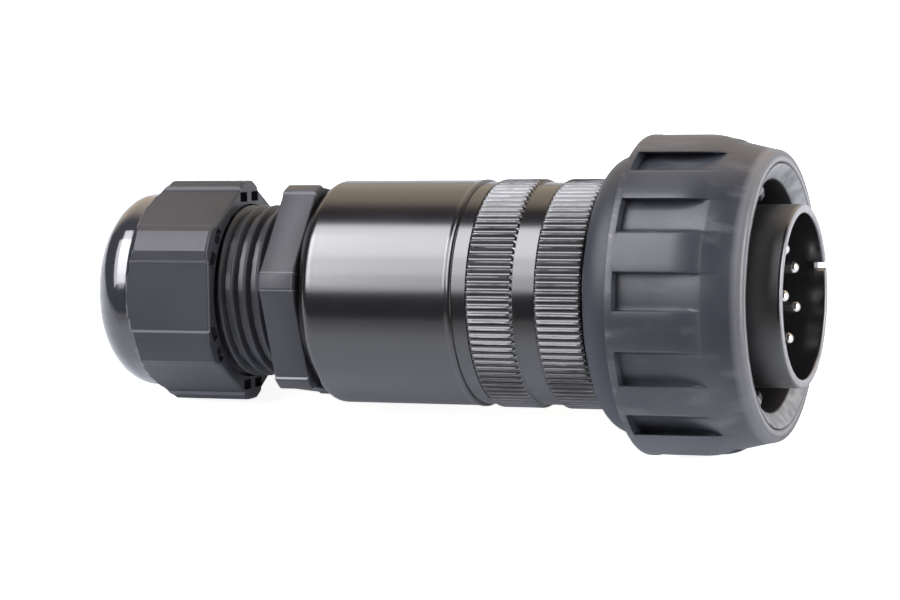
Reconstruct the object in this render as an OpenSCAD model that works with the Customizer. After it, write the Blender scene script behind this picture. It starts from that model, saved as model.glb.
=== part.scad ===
// Push-pull circular connector: cable plug with eight pins, sprung coupling ring, cable gland.
// Lengths are in millimetres. The plug's axis is X, and the origin is the centre of the front
// rim of the metal shell, so the rest of the plug lies at negative X.
// Angles about the axis are counted from -Y towards -Z.

/* [Shell] */
// Outer radius of the spigot that enters the socket
spigot_r = 14.24; // [13.8:0.02:14.6]
// Wall of the spigot
spigot_wall = 1.4; // [1.2:0.1:1.6]
// Length of the spigot from its rim back to the spring shoulder
spigot_len = 27.05; // [26:0.05:29]
// Depth of the plain neck in front of the front knurl, below the knurls
neck_depth = 0.75; // [0.25:0.05:1.25]
// Length of the plain neck
neck_len = 3.4; // [2.5:0.1:5]
// Width of the keyway in the rim
keyway_w = 1.4; // [1:0.1:2.4]
// Depth of the keyway, along the axis
keyway_depth = 1.7; // [1:0.1:4]
// Place of the keyway about the axis, in degrees
keyway_angle = 172.5; // [0:0.5:360]
// Step from the union ring's spigot down to the threaded tail inside it
tail_step = 0.5; // [0.3:0.1:0.7]
// Length of the threaded tail
tail_len = 8.5; // [7:0.5:10]
// Wall of the tail
tail_wall = 2.2; // [2:0.1:2.4]

/* [Knurls] */
// Height of the knurls over the barrel
knurl_step = 0.19; // [0.04:0.01:0.34]
// Length of each knurled band
knurl_len = 7.77; // [6:0.1:9]
// Teeth round each knurled band
knurl_teeth = 96; // [60:1:120]
// Depth of the teeth
knurl_depth = 0.35; // [0.2:0.05:0.5]
// Chamfer at both ends of each band
knurl_chamfer = 0.6; // [0.4:0.1:1]
// Depth of the plain groove between the bands, below the knurls
groove_depth = 0.55; // [0.5:0.05:1.05]
// Length of the plain groove, half on each piece
groove_len = 3.5; // [2:0.1:5]

/* [Union ring] */
// Depth of the plain band behind the rear knurl, below the knurls
band_depth = 0.45; // [0.2:0.05:0.85]
// Length of the plain band
band_len = 2.3; // [1.5:0.1:4]
// Wall of the barrel over the union ring's spigot
barrel_wall = 2.06; // [1.76:0.02:2.2]
// Length of that spigot
union_len = 7; // [5:0.5:8]
// Wall of that spigot
union_wall = 1.9; // [1.6:0.1:2.2]

/* [Backshell] */
// Outer radius of the barrel
barrel_r = 18.06; // [17.8:0.02:18.4]
// Length of the barrel
barrel_len = 26; // [24:0.5:40]
// Wall of the barrel between its two threads
bore_wall = 2.66; // [2.4:0.02:3.06]
// Height of the lip at the barrel's front edge
barrel_lip = 0.14; // [0.05:0.01:0.3]
// Width of that lip
barrel_lip_w = 1; // [0.5:0.1:2]
// Rounding of the barrel's rear edge
barrel_round = 1.8; // [1:0.1:2]

/* [Gland body] */
// Depth of the flats of both hexagons below the barrel's outside
flat_depth = 1.56; // [1.3:0.02:1.8]
// Thickness of the hexagon flange
flange_len = 5.9; // [4:0.1:9]
// Height of the flange's turned corners over the barrel
flange_rise = 0.39; // [-0.06:0.01:0.64]
// Place of one corner of the flange about the axis, in degrees
flange_angle = 26.5; // [0:0.5:60]
// Wall of the barrel over the gland's entry thread
entry_wall = 3.81; // [3.6:0.01:4]
// Length of that thread
entry_len = 11; // [9:0.5:12]
// Wall of the gland body inside its entry thread
gland_wall = 3.55; // [3.3:0.05:3.95]
// Step from the entry thread down to the coarse thread for the dome nut
thread_step = 0.1; // [-0.05:0.05:0.3]
// Pitch of the coarse thread
thread_pitch = 2.25; // [2:0.05:2.5]
// Height of the coarse thread
thread_h = 0.95; // [0.5:0.05:1.1]
// Length of the coarse thread
thread_len = 16.5; // [15.5:0.1:18]
// Wall of the mouth that holds the clamping cage, to the crest of the thread
mouth_wall = 2.15; // [2:0.05:2.35]
// Depth of that mouth
mouth_depth = 6; // [6:0.5:8]
// Thickness of the gasket under the flange
gasket_t = 0.8; // [0.5:0.1:1.5]

/* [Dome nut] */
// Stretch of thread left open between flange and nut
thread_shown = 9.6; // [9:0.1:10.2]
// Length of the nut's hexagon, up to its cone
nut_hex_len = 13.6; // [13:0.1:15]
// Length of the cone that takes off the corners
nut_cone_len = 3; // [2:0.1:4]
// Height of the nut's turned corners over the barrel
nut_rise = 0.04; // [-0.46:0.01:0.64]
// Depth of the dome below the barrel's outside, where it leaves the hexagon
dome_drop = 2.11; // [1.86:0.01:2.46]
// Length of the dome
dome_len = 6; // [5.5:0.1:8]
// Radius at which the dome's round ends
dome_tip_r = 8.4; // [8:0.1:9.2]
// Radius of the cable hole in the dome
cable_hole_r = 9.3; // [9.2:0.1:9.8]
// Width of the sunk panel on each face of the hexagon
panel_w = 11.3; // [9:0.1:13]
// Depth of the sunk panel
panel_depth = 0.3; // [0.1:0.05:0.5]
// Place of one corner of the nut about the axis, in degrees
nut_angle = 5.3; // [0:0.1:60]
// Width of each lightening pocket, round the axis
pocket_w = 2.6; // [1.5:0.1:2.8]
// Height of each lightening pocket, away from the axis
pocket_h = 1.6; // [1:0.1:1.8]
// Web between the two pockets of a corner
pocket_web = 1.6; // [1:0.1:2]
// Depth of the pockets
pocket_depth = 8; // [2:0.5:10]

/* [Clamping cage and seal] */
// Fingers of the cage
fingers = 12; // [8:1:16]
// Step from the crest of the coarse thread down to the cage over its fingers
cage_step = 1.15; // [1:0.05:1.55]
// Step from the crest of the coarse thread down to the tips of the fingers
cage_tip_step = 2.35; // [2.2:0.05:2.55]
// Length of the fingers
finger_len = 9.2; // [8:0.1:9.3]
// Width of the slots between the fingers
finger_slot = 1; // [0.6:0.1:1.5]
// Wall of the cage at its foot
cage_wall = 0.9; // [0.8:0.05:1]
// Length of the cage's foot in the mouth of the gland body
cage_foot = 5.5; // [5:0.1:5.7]
// Bore of the seal, which grips the cable
seal_bore_r = 9; // [8:0.1:9.2]
// Length of the seal
seal_len = 12; // [10:0.5:13]

/* [Coupling ring] */
// Step from the sleeve's skirt down to its bore round the mating space
mate_step = 0.5; // [0.3:0.1:1]
// Distance of the sleeve's front edge behind the shell's rim
ring_setback = 3.6; // [3:0.1:6]
// Length of the coupling ring
ring_len = 25.9; // [25:0.1:27]
// Travel of the coupling ring when it is pulled back
ring_travel = 4; // [2:0.1:4.2]
// Thickness of the web that runs on the spigot
web_t = 2; // [1.5:0.1:3]
// Room for the spring between shoulder and web
spring_room = 9; // [8.5:0.1:10]
// Wall of the sleeve under the grip
sleeve_wall = 2; // [1.6:0.1:2.4]
// Height of the sleeve's collar over the sleeve
collar_rise = 1.7; // [1.4:0.1:2.2]
// Wall of the skirt at its rear edge
collar_tip_wall = 1.2; // [0.9:0.1:1.6]
// Length of the collar behind the grip
collar_len = 4.5; // [4:0.1:6]
// Lugs inside the sleeve's mouth
lugs = 3; // [2:1:4]
// Width of each lug
lug_w = 2; // [1:0.1:4]
// Height of each lug
lug_h = 1; // [0.5:0.1:1.4]
// Length of each lug
lug_len = 4; // [2:0.5:6]
// Distance of the lugs behind the sleeve's mouth
lug_setback = 0.6; // [0.4:0.1:3]
// Place of the first lug about the axis, in degrees
lug_angle = 31; // [0:1:120]

/* [Rubber grip] */
// Ribs round the grip
ribs = 12; // [8:1:16]
// Thickness of the rubber at the ribs
rib_wall = 4.6; // [4.2:0.1:5]
// Depth of the floor between the ribs
rib_depth = 1.8; // [1.5:0.1:2.2]
// Depth of the plain body in front of the ribs, below them
brow_depth = 1.3; // [1:0.1:1.7]
// Depth of the body near its front edge, below the ribs
brow_front_depth = 2.4; // [2.2:0.1:2.8]
// Depth of the front edge, below the ribs
grip_edge_depth = 3.2; // [2.9:0.1:3.6]
// Angle of the floor of each groove between ribs, in degrees
rib_groove = 14; // [8:0.5:20]
// Angle at which the mould opens: the grooves' sides run that way
mould_angle = -30; // [-45:15:45]
// Length of the ribs' full height
rib_len = 9.8; // [8:0.1:10.5]
// Length of the ramp in front of the ribs
ramp_len = 5; // [3:0.1:6]
// Rim that closes the grooves at the rear
rim_len = 1.2; // [0.8:0.1:2]

/* [Spring and circlip] */
// Diameter of the spring's wire
wire_d = 1; // [0.8:0.05:1.05]
// Radius of the spring at the middle of the wire, over the spigot
spring_gap = 2.16; // [1.76:0.02:2.56]
// Turns of the spring
spring_turns = 4.25; // [3:0.25:4.5]
// Thickness of the circlip
clip_t = 1; // [0.8:0.1:1.5]
// Depth of the circlip's groove in the spigot
clip_groove = 0.6; // [0.4:0.05:0.8]
// Outer radius of the circlip
clip_r = 15.6; // [15.2:0.1:16]
// Gap between the circlip's ends, in degrees
clip_gap = 24; // [10:1:60]

/* [Contacts] */
// Contacts round the middle one
ring_contacts = 7; // [4:1:7]
// Radius of the circle of contacts
contact_circle_r = 7.3; // [7:0.1:7.8]
// Place of the first contact about the axis, in degrees
contact_angle = -16.7; // [-180:0.1:180]
// Radius of the pins
pin_r = 1.03; // [0.8:0.01:1.1]
// Distance of the pin tips behind the shell's rim
pin_setback = 2.6; // [1.5:0.1:5]
// Distance of the front insulator's face behind the rim
insulator_setback = 11.5; // [9:0.1:13]
// Radius of the pins inside the insulators
shank_r = 1.3; // [1.2:0.05:1.5]
// Radius of the pins' collars
pin_collar_r = 2; // [1.8:0.05:2.3]
// Thickness of the pins' collars
pin_collar_t = 1.4; // [1:0.1:2]
// Radius of the solder cups
cup_r = 1.7; // [1.6:0.05:1.8]
// Bore of the solder cups
cup_bore_r = 1.15; // [0.8:0.05:1.25]
// Depth of the solder cups
cup_depth = 4.5; // [2:0.5:6]
// Length of the solder cups behind the rear insulator
cup_len = 6; // [5:0.5:9]

/* [Insulators] */
// Length of the front insulator, face to flange
front_insulator_len = 10.5; // [9.5:0.1:12]
// Thickness of the front insulator's flange
insulator_flange_t = 2; // [1.8:0.1:3]
// Length of the rear insulator
rear_insulator_len = 12; // [8:0.5:13]
// Thickness of the face seal in front of the insulator
face_seal_t = 1.2; // [0.8:0.1:2]
// Inner radius of the face seal
face_seal_r = 10.2; // [9.6:0.1:11]
// Thickness of the snap ring behind the insulators
snap_t = 1.2; // [0.8:0.1:1.5]
// Depth of the snap ring's groove in the tail
snap_groove = 0.7; // [0.4:0.1:1]
// Radius of the cord of the insulator's O-ring
insulator_cord_r = 0.7; // [0.5:0.05:0.9]
// Radius of the cord of the backshell's O-ring
union_cord_r = 0.5; // [0.4:0.05:0.6]

/* [Fits] */
// Radial clearance where the coupling sleeve runs on the spigot
run_fit = 0.1; // [0.05:0.01:0.1]
// Radial clearance in threads and between parts put together
seat_fit = 0.1; // [0.05:0.01:0.15]
// Clearance between parts that move past each other
free_fit = 0.35; // [0.3:0.05:0.4]
// Gap where faces of moving parts stop each other
stop_gap = 0.1; // [0.05:0.05:0.2]
// Small chamfer on turned edges
edge = 0.2; // [0.1:0.05:0.3]

/* [Hidden] */
$fn = 96;
eps = 0.01;                 // cuts run this far past a face
clear = 1;                  // cutters reach this far past what they cut
feather = 0.05;             // least thickness where a cut runs out of a surface
cord_sides = 24;            // facets of round wire and cord sections
wire_sides = 8;             // sides of the spring's wire
wire_steps = 26;            // rings of the spring in one turn

// Radii, from the barrel inwards and outwards
knurl_r = barrel_r + knurl_step;
neck_r = knurl_r - neck_depth;
groove_r = knurl_r - groove_depth;
band_r = knurl_r - band_depth;
union_r = barrel_r - barrel_wall - seat_fit;
tail_r = union_r - tail_step;
barrel_bore_r = barrel_r - bore_wall;
entry_r = barrel_r - entry_wall - seat_fit;
gland_bore_r = entry_r - gland_wall;
thread_r = entry_r - thread_step;
mouth_r = thread_r - mouth_wall;
gland_af = 2 * (barrel_r - flat_depth);
flange_corner_r = barrel_r + flange_rise;
nut_corner_r = barrel_r + nut_rise;
dome_r = barrel_r - dome_drop;
cage_r = thread_r - cage_step;
cage_tip_r = thread_r - cage_tip_step;
skirt_r = knurl_r + free_fit;
mate_r = skirt_r - mate_step;
sleeve_r = skirt_r + sleeve_wall;
collar_r = sleeve_r + collar_rise;
collar_tip_r = skirt_r + collar_tip_wall;
rib_r = sleeve_r + rib_wall;
rib_floor_r = rib_r - rib_depth;
brow_r = rib_r - brow_depth;
brow_front_r = rib_r - brow_front_depth;
grip_edge_r = rib_r - grip_edge_depth;
spring_r = spigot_r + spring_gap;

// Stations along the axis, front to rear
x_ring_front = -ring_setback;
x_shoulder = -spigot_len;
x_neck_rear = x_shoulder - neck_len;
x_knurl_rear = x_neck_rear - knurl_len;
x_union_front = x_knurl_rear - groove_len / 2;
x_tail_rear = x_union_front - tail_len;
x_band_front = x_union_front - groove_len / 2 - knurl_len;
x_union_rear = x_band_front - band_len;
x_barrel_rear = x_union_rear - barrel_len;
x_flange_front = x_barrel_rear - gasket_t;
x_flange_rear = x_flange_front - flange_len;
x_thread_rear = x_flange_rear - thread_len;
x_nut_front = x_flange_rear - thread_shown;
x_nut_hex_rear = x_nut_front - nut_hex_len;
x_dome_front = x_nut_hex_rear - nut_cone_len;
x_dome_rear = x_dome_front - dome_len;

// Coupling ring
x_web_rear = x_shoulder + spring_room;
x_web_front = x_web_rear + web_t;
x_ring_rear = x_ring_front - ring_len;
x_grip_rear = x_ring_rear + collar_len;
x_rib_rear = x_grip_rear + rim_len / 2;
x_rib_front = x_rib_rear + rib_len;
x_ramp_front = x_rib_front + ramp_len;
x_clip_rear = x_web_front + stop_gap;
clip_seat_r = spigot_r - clip_groove;

// Insulators and contacts
socket_r = spigot_r - spigot_wall;
chamber_r = tail_r - tail_wall;
x_insulator = -insulator_setback;
x_insulator_step = x_insulator - front_insulator_len;
x_insulator_rear = x_insulator_step - insulator_flange_t;
x_rear_insulator = x_insulator_rear - rear_insulator_len;
x_cup_rear = x_rear_insulator - cup_len;

// Gland
hex_r = gland_af / 2 / cos(30);
thread_root_r = thread_r - thread_h;
nut_bore_r = thread_r + 2 * seat_fit;
cage_foot_r = mouth_r - 2 * seat_fit;
cage_bore_r = cage_foot_r - cage_wall;
seal_r = cage_bore_r - seat_fit;
x_cage_shoulder = x_thread_rear - free_fit;
x_cage_foot = x_cage_shoulder + cage_foot;
x_cage_tip = x_cage_shoulder - finger_len;
x_nut_cone = x_cage_tip + finger_len * 0.45;
nut_lip = 1.4;

// ---- Helpers ----

// Turns a piece drawn round Z so that its axis is X and its zero angle faces -Y
module on_axis() rotate([-90, 0, 0]) rotate([0, 90, 0]) children();

// A turned piece from its half section, as points [radius, station]
module turned(section) rotate_extrude() polygon(section);

// A plain tube between two stations
module tube(outer_r, inner_r, x_low, x_high)
    turned([[inner_r, x_low], [outer_r, x_low], [outer_r, x_high], [inner_r, x_high]]);

// A round hole between two stations
module hole(r, x_low, x_high) translate([0, 0, x_low]) cylinder(r = r, h = x_high - x_low);

// Points of an arc, given its centre, its two radii and its angles
function arc(centre, rx, ry, from, to, steps) =
    [for (i = [0 : steps])
        let (a = from + (to - from) * i / steps)
        [centre[0] + rx * cos(a), centre[1] + ry * sin(a)]];

// Faces that close a tube swept through rings of points
function sweep_faces(rings, sides) = concat(
    [[for (k = [0 : sides - 1]) k]],
    [for (i = [0 : rings - 2], k = [0 : sides - 1])
        let (n = (k + 1) % sides)
        each [[i * sides + n, i * sides + k, (i + 1) * sides + k],
              [i * sides + n, (i + 1) * sides + k, (i + 1) * sides + n]]],
    [[for (k = [sides - 1 : -1 : 0]) (rings - 1) * sides + k]]);

// Outline of a straight knurl: one tooth is a land, a flank down, a floor and a flank up
function knurl_points() =
    [for (i = [0 : knurl_teeth - 1])
        let (step = 360 / knurl_teeth)
        each [for (part = [[0.0, knurl_r], [0.4, knurl_r], [0.6, knurl_r - knurl_depth],
                           [0.8, knurl_r - knurl_depth]])
            let (a = (i + part[0]) * step)
            [part[1] * cos(a), part[1] * sin(a)]]];

// A knurled band with chamfered ends, bored to a given radius
module knurled_band(x_rear, bore_r) {
    low_r = knurl_r - knurl_chamfer;
    x_front = x_rear + knurl_len;
    difference() {
        intersection() {
            translate([0, 0, x_rear]) linear_extrude(knurl_len) polygon(knurl_points());
            turned([[0, x_rear], [low_r, x_rear], [knurl_r + eps, x_rear + knurl_chamfer],
                    [knurl_r + eps, x_front - knurl_chamfer], [low_r, x_front], [0, x_front]]);
        }
        hole(bore_r, x_rear - clear, x_front + clear);
    }
}

// A hexagon bar between two stations, with its corners turned down
module hexagon(corner_r, angle, x_low, x_high)
    intersection() {
        translate([0, 0, x_low]) rotate(angle) cylinder(r = hex_r, h = x_high - x_low, $fn = 6);
        hole(corner_r, x_low, x_high);
    }

// An O-ring lying in a groove of a given floor radius
module o_ring(floor_r, cord_r, x)
    rotate_extrude() translate([floor_r + cord_r, x]) circle(r = cord_r, $fn = cord_sides);

// Puts its children at every contact round the middle one
module at_ring_contacts()
    for (k = [0 : ring_contacts - 1])
        rotate(contact_angle + 360 / ring_contacts * k) translate([contact_circle_r, 0]) children();

// Holes of one radius for all contacts
module contact_holes(r, x_low, x_high) {
    hole(r, x_low, x_high);
    at_ring_contacts() hole(r, x_low, x_high);
}

// ---- Coupling ring ----

// Space swept by the mould core of one groove, at an angle from the mould's opening. Its sides
// run the way the core is drawn, except at the parting line, where they point to the axis.
module groove_core(from_draw) {
    side = from_draw > 90 && from_draw < 270 ? 180 : 0;
    t = from_draw > 270 ? from_draw - 360 : from_draw - side;
    low = rib_floor_r * sin(t - rib_groove / 2);
    high = rib_floor_r * sin(t + rib_groove / 2);
    rotate(mould_angle + side)
        if (abs(from_draw - 90) < eps || abs(from_draw - 270) < eps)
            rotate(t - rib_groove / 2) rotate_extrude(angle = rib_groove)
                polygon([[rib_floor_r - clear, x_grip_rear], [rib_r + 2 * clear, x_grip_rear],
                         [rib_r + 2 * clear, x_ring_front], [rib_floor_r - clear, x_ring_front]]);
        else
            translate([0, low, x_grip_rear]) cube([rib_r + 2 * clear, high - low, ring_len]);
}

module grip_ring() color([0.16, 0.16, 0.18]) on_axis() {
    bore = sleeve_r + seat_fit;
    x_wall = x_rib_rear + rim_len;
    ramp_turn = 60;
    ramp_rise = (rib_r - brow_r) / (1 - cos(ramp_turn));
    difference() {
        turned(concat(
            [[bore, x_grip_rear], [collar_r - edge, x_grip_rear], [rib_floor_r, x_rib_rear],
             [rib_r - edge, x_rib_rear], [rib_r, x_rib_rear + edge]],
            arc([rib_r - ramp_rise, x_rib_front], ramp_rise, ramp_len / sin(ramp_turn), 0, ramp_turn, 8),
            arc([grip_edge_r, x_ring_front - rim_len], brow_front_r - grip_edge_r, rim_len, 0, 90, 5),
            [[bore, x_ring_front - 2 * edge]]));
        for (k = [0 : ribs - 1])
            intersection() {
                rotate_extrude() polygon(
                    [[rib_floor_r, x_wall], [rib_r + clear, x_wall],
                     [rib_r + clear, x_ramp_front], [brow_r + feather, x_ramp_front],
                     [rib_floor_r, x_rib_front - clear]]);
                groove_core(k * 360 / ribs);
            }
    }
}

module coupling_sleeve() color([0.13, 0.13, 0.14]) on_axis() {
    mouth = x_ring_front - edge;
    turned(concat(
        [[skirt_r, x_ring_rear]],
        arc([collar_tip_r, x_grip_rear], collar_r - collar_tip_r, collar_len, -90, 0, 6),
        [[sleeve_r, x_grip_rear], [sleeve_r, x_ring_front - 2 * edge],
         [mate_r + edge, mouth], [mate_r, mouth - edge],
         [mate_r, x_web_front], [spigot_r + run_fit, x_web_front],
         [spigot_r + run_fit, x_web_rear], [skirt_r, x_web_rear]]));
    for (k = [0 : lugs - 1])
        rotate(lug_angle + 360 / lugs * k)
            translate([mate_r - lug_h, -lug_w / 2, mouth - lug_setback - lug_len])
                cube([lug_h + clear, lug_w, lug_len]);
}

// Height of the spring's wire above its rear end, with both end turns lying flat
function spring_rise(turn) =
    let (closed = 0.75,
         active = spring_turns - 2 * closed,
         lift = spring_room - wire_d - 2 * closed * wire_d * 0.5)
    turn < closed ? turn * wire_d * 0.5
        : turn > spring_turns - closed
            ? spring_room - wire_d - (spring_turns - turn) * wire_d * 0.5
            : closed * wire_d * 0.5 + (turn - closed) / active * lift;

module return_spring() color([0.62, 0.63, 0.65]) on_axis() {
    rings = floor(spring_turns * wire_steps) + 1;
    start = x_shoulder + wire_d / 2;
    points = [for (i = [0 : rings - 1], k = [0 : wire_sides - 1])
        let (turn = i / wire_steps, a = turn * 360, b = k * 360 / wire_sides + 180 / wire_sides,
             r = spring_r + wire_d / 2 * cos(b))
        [r * cos(a), r * sin(a), start + spring_rise(turn) + wire_d / 2 * sin(b)]];
    polyhedron(points, sweep_faces(rings, wire_sides));
}

module sleeve_circlip() color([0.35, 0.35, 0.37]) on_axis()
    rotate(clip_gap / 2 + 90) rotate_extrude(angle = 360 - clip_gap)
        translate([clip_seat_r + seat_fit / 2, x_clip_rear])
            square([clip_r - clip_seat_r - seat_fit / 2, clip_t]);

// ---- Shell ----

module shell_body() color([0.10, 0.10, 0.11]) on_axis() {
    difference() {
        union() {
            turned([[chamber_r, x_tail_rear], [tail_r - edge, x_tail_rear],
                    [tail_r, x_tail_rear + edge], [tail_r, x_union_front],
                    [groove_r, x_union_front], [groove_r, x_knurl_rear + eps],
                    [neck_r, x_knurl_rear + eps], [neck_r, x_shoulder - edge],
                    [neck_r - edge, x_shoulder], [spigot_r, x_shoulder],
                    [spigot_r, x_clip_rear - stop_gap / 2], [clip_seat_r, x_clip_rear - stop_gap / 2],
                    [clip_seat_r, x_clip_rear + clip_t + stop_gap / 2],
                    [spigot_r, x_clip_rear + clip_t + stop_gap / 2],
                    [spigot_r, -edge], [spigot_r - edge, 0], [socket_r + edge, 0],
                    [socket_r, -edge], [socket_r, x_insulator_step], [chamber_r, x_insulator_step]]);
            knurled_band(x_knurl_rear, groove_r - clear);
        }
        x_snap = x_rear_insulator - seat_fit;
        tube(chamber_r + snap_groove, chamber_r - clear, x_snap - snap_t - seat_fit, x_snap);
        rotate(keyway_angle)
            translate([socket_r - clear, -keyway_w / 2, -keyway_depth])
                cube([spigot_wall + 2 * clear, keyway_w, keyway_depth + clear]);
    }
}

module front_insulator() color([0.20, 0.20, 0.22]) on_axis() {
    body_r = socket_r - seat_fit;
    seal_floor = body_r - 2 * insulator_cord_r + seat_fit / 2;
    x_seal = x_insulator - front_insulator_len / 2;
    difference() {
        turned([[0, x_insulator_rear], [chamber_r - seat_fit, x_insulator_rear],
                [chamber_r - seat_fit, x_insulator_step], [body_r, x_insulator_step],
                [body_r, x_seal - 1.3 * insulator_cord_r], [seal_floor, x_seal - 1.3 * insulator_cord_r],
                [seal_floor, x_seal + 1.3 * insulator_cord_r], [body_r, x_seal + 1.3 * insulator_cord_r],
                [body_r, x_insulator - edge], [body_r - edge, x_insulator], [0, x_insulator]]);
        contact_holes(shank_r + seat_fit, x_insulator_rear - clear, x_insulator + clear);
        contact_holes(pin_collar_r + seat_fit, x_insulator_rear - clear,
                      x_insulator_rear + pin_collar_t);
    }
}

module insulator_o_ring() color([0.07, 0.07, 0.07]) on_axis()
    o_ring(socket_r - seat_fit - 2 * insulator_cord_r + seat_fit / 2, insulator_cord_r,
           x_insulator - front_insulator_len / 2);

module face_seal() color([0.12, 0.12, 0.13]) on_axis()
    tube(socket_r - seat_fit, face_seal_r, x_insulator, x_insulator + face_seal_t);

module rear_insulator() color([0.24, 0.24, 0.26]) on_axis()
    difference() {
        hole(chamber_r - seat_fit, x_rear_insulator, x_insulator_rear);
        contact_holes(cup_r + seat_fit, x_rear_insulator - clear, x_insulator_rear + clear);
    }

module insulator_snap_ring() color([0.45, 0.45, 0.47]) on_axis()
    rotate(90 + clip_gap / 2) rotate_extrude(angle = 360 - clip_gap)
        translate([chamber_r - 2 * snap_t, x_rear_insulator - seat_fit - snap_t])
            square([2 * snap_t + snap_groove - seat_fit, snap_t]);

// One contact: round-nosed pin, shank, trapped collar and solder cup
module contact() {
    x_tip = -pin_setback;
    difference() {
        turned(concat(
            [[0, x_cup_rear], [cup_r, x_cup_rear], [cup_r, x_insulator_rear],
             [pin_collar_r, x_insulator_rear], [pin_collar_r, x_insulator_rear + pin_collar_t],
             [shank_r, x_insulator_rear + pin_collar_t], [shank_r, x_insulator - edge],
             [pin_r, x_insulator - edge]],
            arc([0, x_tip - pin_r], pin_r, pin_r, 0, 90, 8)));
        hole(cup_bore_r, x_cup_rear - clear, x_cup_rear + cup_depth);
    }
}

module contact_pin(number) color([0.80, 0.80, 0.82]) on_axis() {
    if (number > ring_contacts)
        contact();
    else
        rotate(contact_angle + 360 / ring_contacts * (number - 1))
            translate([contact_circle_r, 0]) contact();
}

// ---- Union ring and backshell ----

module union_ring() color([0.10, 0.10, 0.11]) on_axis() {
    bore = tail_r + seat_fit;
    x_end = x_union_rear - union_len;
    x_step = x_tail_rear - stop_gap;
    x_groove = x_union_rear - 3.4 * union_cord_r;
    groove_floor = union_r - 2 * union_cord_r;
    difference() {
        turned([[union_r - union_wall, x_end], [union_r - edge, x_end], [union_r, x_end + edge],
                [union_r, x_groove], [groove_floor, x_groove], [groove_floor, x_union_rear],
                [band_r, x_union_rear], [band_r, x_band_front], [groove_r, x_band_front],
                [groove_r, x_union_front], [bore, x_union_front], [bore, x_step],
                [union_r - union_wall, x_step]]);
    }
    knurled_band(x_band_front, groove_r - clear);
}

module union_o_ring() color([0.07, 0.07, 0.07]) on_axis()
    o_ring(union_r - 2 * union_cord_r, union_cord_r, x_union_rear - 1.7 * union_cord_r);

module backshell() color([0.07, 0.07, 0.08]) on_axis() {
    front_bore = union_r + seat_fit;
    rear_bore = entry_r + seat_fit;
    lip_r = barrel_r + barrel_lip;
    turned(concat(
        [[rear_bore, x_barrel_rear]],
        arc([barrel_r - barrel_round, x_barrel_rear + barrel_round], barrel_round, barrel_round,
            -90, 0, 8),
        [[barrel_r, x_union_rear - barrel_lip_w], [lip_r, x_union_rear - barrel_lip_w + edge],
         [lip_r, x_union_rear - edge], [lip_r - edge, x_union_rear], [front_bore, x_union_rear],
         [front_bore, x_union_rear - union_len - clear],
         [barrel_bore_r, x_union_rear - union_len - clear],
         [barrel_bore_r, x_flange_front + entry_len + clear],
         [rear_bore, x_flange_front + entry_len + clear]]));
}

// ---- Cable gland ----

module flange_gasket() color([0.05, 0.05, 0.05]) on_axis()
    tube(barrel_r - barrel_round - edge, entry_r + seat_fit, x_flange_front, x_barrel_rear);

// Core of the nut thread, with its ridges drawn as parallel rounded rings at the thread's pitch
module nut_thread() {
    ridges = floor(thread_len / thread_pitch);
    shape = [[0.00, 0], [0.08, 0.75], [0.18, 1], [0.50, 1], [0.60, 0.75], [0.68, 0]];
    turned(concat(
        [[0, x_thread_rear]],
        [for (i = [0 : ridges - 1], p = shape)
            [thread_root_r + p[1] * thread_h, x_thread_rear + (i + p[0]) * thread_pitch]],
        [[thread_root_r, x_flange_rear + clear], [0, x_flange_rear + clear]]));
}

module gland_body() color([0.12, 0.12, 0.12]) on_axis()
    difference() {
        union() {
            hexagon(flange_corner_r, flange_angle, x_flange_rear, x_flange_front);
            hole(entry_r, x_flange_front - clear, x_flange_front + entry_len);
            nut_thread();
        }
        hole(gland_bore_r, x_thread_rear - clear, x_flange_front + entry_len + clear);
        hole(mouth_r, x_thread_rear - clear, x_thread_rear + mouth_depth);
    }

module clamping_cage() color([0.16, 0.16, 0.16]) on_axis()
    difference() {
        turned([[cage_bore_r, x_cage_tip], [cage_tip_r, x_cage_tip],
                [cage_r, x_cage_tip + finger_len / 2], [cage_r, x_cage_shoulder],
                [cage_foot_r, x_cage_shoulder], [cage_foot_r, x_cage_foot],
                [cage_bore_r, x_cage_foot]]);
        for (k = [0 : fingers - 1])
            rotate(360 / fingers * k)
                translate([cage_bore_r - clear, -finger_slot / 2, x_cage_tip - clear])
                    cube([cage_r - cage_bore_r + 2 * clear, finger_slot, finger_len]);
    }

module gland_seal() color([0.06, 0.06, 0.06]) on_axis()
    tube(seal_r, seal_bore_r, x_cage_tip + clear / 2, x_cage_tip + clear / 2 + seal_len);

module gland_nut() color([0.12, 0.12, 0.13]) on_axis() {
    x_hole = x_dome_rear + nut_lip;
    difference() {
        union() {
            intersection() {
                hexagon(nut_corner_r, nut_angle, x_dome_front, x_nut_front);
                turned([[0, x_dome_front], [dome_r - edge, x_dome_front],
                        [nut_corner_r + eps, x_nut_hex_rear], [nut_corner_r + eps, x_nut_front],
                        [0, x_nut_front]]);
            }
            turned(concat([[0, x_dome_rear]],
                          arc([dome_tip_r, x_dome_front], dome_r - dome_tip_r, dome_len, -90, 0, 10),
                          [[dome_r, x_nut_hex_rear], [0, x_nut_hex_rear]]));
        }
        turned([[0, x_dome_rear - clear], [cable_hole_r, x_dome_rear - clear], [cable_hole_r, x_hole],
                [nut_bore_r, x_nut_cone], [nut_bore_r, x_nut_front + clear], [0, x_nut_front + clear]]);
        for (k = [0 : 5])
            rotate(nut_angle + 30 + 60 * k)
                translate([gland_af / 2 - panel_depth, -panel_w / 2, x_dome_front - clear])
                    cube([clear, panel_w, x_nut_front - x_dome_front + 2 * clear]);
        for (k = [0 : 5], side = [-1, 1])
            rotate(nut_angle + 60 * k)
                translate([nut_bore_r + 2 * edge, side * (pocket_web + pocket_w) / 2 - pocket_w / 2,
                           x_nut_front - pocket_depth])
                    cube([pocket_h, pocket_w, pocket_depth + clear]);
    }
}

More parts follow.
